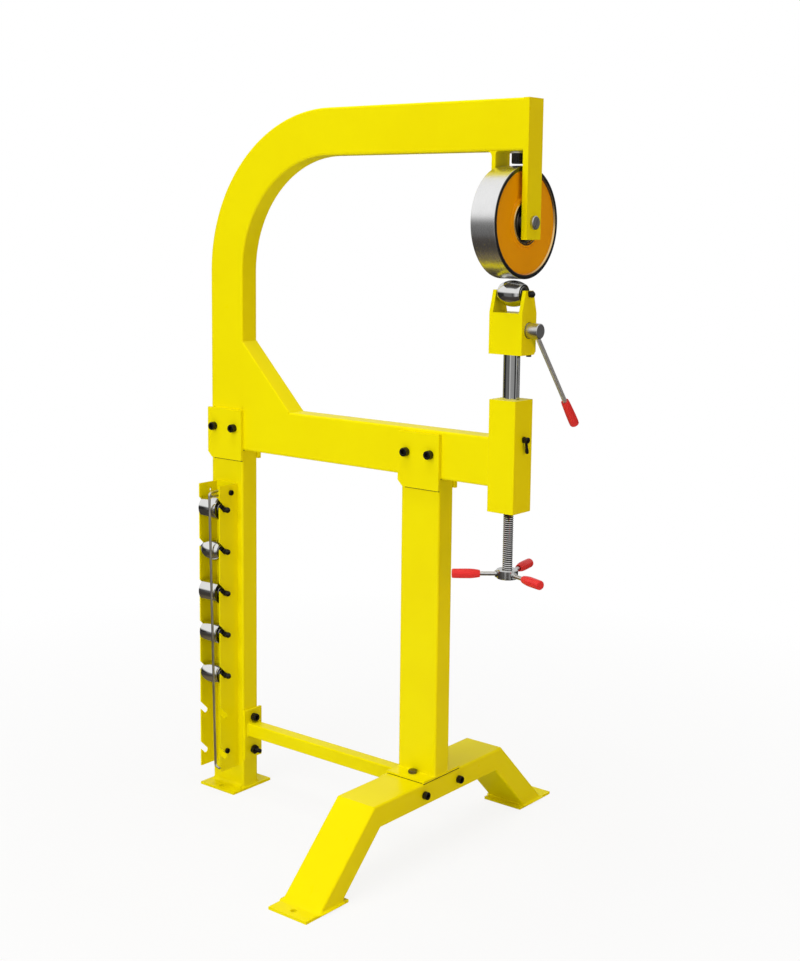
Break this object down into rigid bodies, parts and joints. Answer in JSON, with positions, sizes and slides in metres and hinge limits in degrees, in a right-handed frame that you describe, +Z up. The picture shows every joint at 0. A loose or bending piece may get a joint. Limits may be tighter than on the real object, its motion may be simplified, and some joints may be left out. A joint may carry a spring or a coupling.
{
  "type": "english wheel",
  "caption": "Floor-standing english wheel: box-tube C frame, large upper wheel, crowned lower anvil in a quick-release yoke on a screw-driven ram, and a rack of spare anvils.",
  "frame": {"origin": "middle of the rear foot plate's underside, on the floor", "axes": "+X along the throat from the column to the wheels, +Z up, +Y across so that the anvil rack is on the -Y side"},
  "size_m": [0.8983, 0.819, 1.5115],
  "materials": {
    "yellow_paint": "semi-gloss",
    "orange_paint": "semi-gloss",
    "black_steel": "black oxide",
    "plain_steel": "as machined",
    "turned_steel": "turned and plated",
    "ground_steel": "ground and polished",
    "bearing": "black seal between steel rings",
    "bronze": "machined",
    "red_grip": "gloss"
  },
  "bodies": {
    "frame": {"upper_arm": "yellow_paint", "bend": "yellow_paint", "column": "yellow_paint", "gusset": "yellow_paint", "lower_arm": "yellow_paint", "fork_plates": "yellow_paint", "fork_screw": "black_steel", "slide_housing": "yellow_paint", "ram_bushes": "bronze", "screw_nut": "bronze", "rear_post": "yellow_paint", "rear_foot": "yellow_paint", "front_post": "yellow_paint", "front_base": "yellow_paint", "cheeks": "yellow_paint", "leg_beam": "yellow_paint", "legs": "yellow_paint", "leg_feet": "yellow_paint", "crossbar": "yellow_paint", "crossbar_plates": "yellow_paint", "saddle_screws": "black_steel", "saddle_nuts": "black_steel", "leg_screws": "black_steel", "leg_nuts": "black_steel", "crossbar_screws": "black_steel", "base_screws": "plain_steel", "anvil_rack": "yellow_paint", "rack_screws": "black_steel", "wheel_axle": "turned_steel", "axle_sleeve": "plain_steel", "axle_nut": "plain_steel", "stored_axles": "black_steel", "stored_nuts": "black_steel", "stored_bearings": "bearing"},
    "wheel": {"wheel_rim": "ground_steel", "wheel_discs": "orange_paint", "wheel_hub": "orange_paint", "wheel_bearings": "bearing"},
    "ram": {"ram": "ground_steel", "thrust_pad": "bronze"},
    "screw": {"adjusting_screw": "plain_steel", "handle_hub": "turned_steel", "handle_rods": "turned_steel", "handle_grips": "red_grip"},
    "yoke": {"yoke": "yellow_paint", "yoke_screw": "black_steel", "anvil_axle": "black_steel", "anvil_nuts": "black_steel", "anvil_bearings": "bearing"},
    "anvil": {"anvil_roller": "ground_steel"},
    "quick_release": {"cam_shaft": "turned_steel", "lever_rod": "turned_steel", "lever_grip": "red_grip"},
    "clamp": {"clamp_lever": "black_steel"},
    "rod": {"retaining_rod": "plain_steel"},
    "stored_1": {"stored_roller_1": "ground_steel"},
    "stored_2": {"stored_roller_2": "ground_steel"},
    "stored_3": {"stored_roller_3": "ground_steel"},
    "stored_4": {"stored_roller_4": "ground_steel"},
    "stored_5": {"stored_roller_5": "ground_steel"}
  },
  "joints": [
    {"name": "wheel_spin", "type": "hinge", "parent": "frame", "child": "wheel", "pos_m": [0.742, 0, 1.284], "axis": [1, 0, 0], "continuous": true},
    {"name": "ram_slide", "type": "slide", "parent": "frame", "child": "ram", "axis": [0, 0, 1], "range_m": [-0.075, 0.0022]},
    {"name": "screw_turn", "type": "hinge", "parent": "ram", "child": "screw", "pos_m": [0.742, 0, 0.611], "axis": [0, 0, 1], "range_deg": [-6750, 198]},
    {"name": "yoke_drop", "type": "slide", "parent": "ram", "child": "yoke", "axis": [0, 0, 1], "range_m": [-0.006, 0]},
    {"name": "lever_swing", "type": "hinge", "parent": "yoke", "child": "quick_release", "pos_m": [0.742, 0, 1.0835], "axis": [1, 0, 0], "range_deg": [0, 110]},
    {"name": "anvil_spin", "type": "hinge", "parent": "yoke", "child": "anvil", "pos_m": [0.742, 0, 1.1515], "axis": [1, 0, 0], "continuous": true},
    {"name": "clamp_turn", "type": "hinge", "parent": "frame", "child": "clamp", "pos_m": [0.772, 0, 0.8756], "axis": [1, 0, 0], "range_deg": [-45, 45]},
    {"name": "rod_swing", "type": "hinge", "parent": "frame", "child": "rod", "pos_m": [0.015, -0.045, 0.687], "axis": [-1, 0, 0], "range_deg": [0, 100]},
    {"name": "stored_1_spin", "type": "hinge", "parent": "frame", "child": "stored_1", "pos_m": [0, -0.064, 0.652], "axis": [1, 0, 0], "continuous": true},
    {"name": "stored_2_spin", "type": "hinge", "parent": "frame", "child": "stored_2", "pos_m": [0, -0.064, 0.558], "axis": [1, 0, 0], "continuous": true},
    {"name": "stored_3_spin", "type": "hinge", "parent": "frame", "child": "stored_3", "pos_m": [0, -0.064, 0.464], "axis": [1, 0, 0], "continuous": true},
    {"name": "stored_4_spin", "type": "hinge", "parent": "frame", "child": "stored_4", "pos_m": [0, -0.064, 0.37], "axis": [1, 0, 0], "continuous": true},
    {"name": "stored_5_spin", "type": "hinge", "parent": "frame", "child": "stored_5", "pos_m": [0, -0.064, 0.276], "axis": [1, 0, 0], "continuous": true}
  ],
  "couplings": [
    {"joint": "ram_slide", "follows": "screw_turn", "m_per_rad": 0.0006366},
    {"joint": "yoke_drop", "follows": "lever_swing", "m_per_rad": -0.003125}
  ]
}
